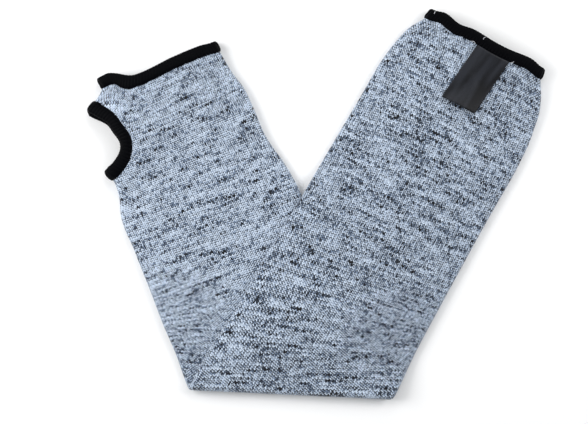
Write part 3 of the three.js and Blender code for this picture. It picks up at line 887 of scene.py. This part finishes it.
# Spun cotton, bleached. To the eye it is a dull white hair, a little fuzzy.
def cottonMaterial():
    material, tree = newMaterial("cotton thread, spun and bleached")
    place = addNode(tree, "TexCoord", {}).outputs["Object"]
    fuzz = addNode(tree, "TexNoise", {"Vector": place, "Scale": 9000, "Detail": 2}).outputs["Fac"]
    ramp = addNode(tree, "ValToRGB", {"Fac": fuzz})
    ramp.color_ramp.elements[0].color = colour(hairs["shade"])
    ramp.color_ramp.elements[1].color = colour(hairs["light"])
    shader = addNode(tree, "BsdfPrincipled", {
        "Base Color": ramp.outputs["Color"], "Roughness": 0.9, "Sheen Weight": 0.3}).outputs[0]
    addNode(tree, "OutputMaterial", {"Surface": shader})
    return material


# A hair of thread that lies over the arm leg: a grid rolled up along a curl, thinner towards its tip.
def looseEnd(name, back, across, height, length, turn, curl, radius, material):
    along = np.linspace(0, 1, hairs["stops"])
    angle = radians(turn) + radians(curl) * along
    step = length / (len(along) - 1)
    row = sleeve["length"] + back + np.cumsum(np.sin(angle)) * step
    t = across + np.cumsum(np.cos(angle)) * step
    half, drift = sectionAt(row)[:2]
    roll = rollAt(row, fold["fromHand"])
    place = (7 - np.clip((t - drift) / (half - roll), -1, 1)) / 2
    line = offset(row, place, height + hairs["rise"] * np.sin(pi * along))
    ahead = np.gradient(line, axis=0)
    beside = np.cross(ahead, (0, 0, 1))
    beside = beside / np.linalg.norm(beside, axis=1)[:, None]
    above = np.cross(beside, ahead / np.linalg.norm(ahead, axis=1)[:, None])
    hair = bmesh.new()
    bmesh.ops.create_grid(hair, x_segments=hairs["sides"], y_segments=len(along) - 1, size=1)
    flat = np.array([v.co[:2] for v in hair.verts])
    turns = pi * flat[:, 0]
    ring = np.rint((flat[:, 1] + 1) / 2 * (len(along) - 1)).astype(int)
    slim = radius * (1 - hairs["taper"] * along[ring] ** 3)
    outward = np.cos(turns)[:, None] * beside[ring] + np.sin(turns)[:, None] * above[ring]
    for vert, point in zip(hair.verts, toPart(line[ring] + slim[:, None] * outward)):
        vert.co = point
    bmesh.ops.remove_doubles(hair, verts=hair.verts, dist=hairs["weld"] * mm)
    bmesh.ops.holes_fill(hair, edges=hair.edges, sides=hairs["sides"])
    bmesh.ops.recalc_face_normals(hair, faces=hair.faces)
    mesh = bpy.data.meshes.new(name)
    hair.to_mesh(mesh)
    hair.free()
    return newPiece(name, mesh, material, "edging")


knitPiece(knitMaterial())
print("knit done")
threadMaterial = edgingMaterial()
edgingPiece("hand_overlock", threadMaterial, "hand_edging", handPlace)
edgingPiece("arm_overlock", threadMaterial, "arm_edging", armPlace)
edgingPiece("thumb_overlock", threadMaterial, "thumb_edging", thumbPlace)
print("edgings done")
labelPiece(satinMaterial())
print("label done")
cotton = cottonMaterial()
for row in looseEnds:
    looseEnd(*row, cotton)
print("loose ends done")

# The table, the lights and the camera.
studio = dict(
    floorColour="#fbfbfb",
    skyStrength=0.4,
    skyColour="#fbfdff",
    floorSize=3,
)
# softboxes round the table: place in metres, side and power in watts
softboxes = [
    ("left softbox", (-0.62, 0.12, 0.46), 0.5, 5.0),
    ("right softbox", (0.66, 0.26, 0.50), 0.5, 3.6),
    ("back softbox", (0.05, 0.75, 0.60), 0.6, 2.0),
]
shot = dict(
    frameWidth=0.3544,   # metres across the photo, at the sleeve
    sleeveHeight=0.005,  # where that width is measured
    lens=120,
    sensor=36,
    centre=(-0.0097, -0.0066),
    roll=radians(1.53),
)

floorMesh = bmesh.new()
bmesh.ops.create_grid(floorMesh, x_segments=1, y_segments=1, size=studio["floorSize"])
floorData = bpy.data.meshes.new("floor")
floorMesh.to_mesh(floorData)
floorMesh.free()
floor = bpy.data.objects.new("floor", floorData)
bpy.context.scene.collection.objects.link(floor)
floorMaterial, floorTree = newMaterial("painted board, matt white")
floorShader = addNode(floorTree, "BsdfPrincipled", {
    "Base Color": colour(studio["floorColour"]), "Roughness": 0.9, "Specular IOR Level": 0.1}).outputs[0]
addNode(floorTree, "OutputMaterial", {"Surface": floorShader})
floorData.materials.append(floorMaterial)

world = bpy.data.worlds.new("soft white room")
bpy.context.scene.world = world
world.use_nodes = True
world.node_tree.nodes["Background"].inputs["Color"].default_value = colour(studio["skyColour"])
world.node_tree.nodes["Background"].inputs["Strength"].default_value = studio["skyStrength"]

for name, place, side, power in softboxes:
    lightData = bpy.data.lights.new(name, "AREA")
    lightData.size = side
    lightData.energy = power
    light = bpy.data.objects.new(name, lightData)
    light.location = place
    light.rotation_euler = Vector(place).to_track_quat("Z", "Y").to_euler()
    bpy.context.scene.collection.objects.link(light)

cameraData = bpy.data.cameras.new("camera")
cameraData.lens = shot["lens"]
cameraData.sensor_width = shot["sensor"]
camera = bpy.data.objects.new("camera", cameraData)
height = shot["frameWidth"] * shot["lens"] / shot["sensor"]
camera.location = (*shot["centre"], height + shot["sleeveHeight"])
camera.rotation_euler = (0, 0, shot["roll"])
bpy.context.scene.collection.objects.link(camera)
bpy.context.scene.camera = camera
bpy.context.scene.view_settings.view_transform = "Standard"
print("table, lights and camera done")

bpy.context.view_layer.update()
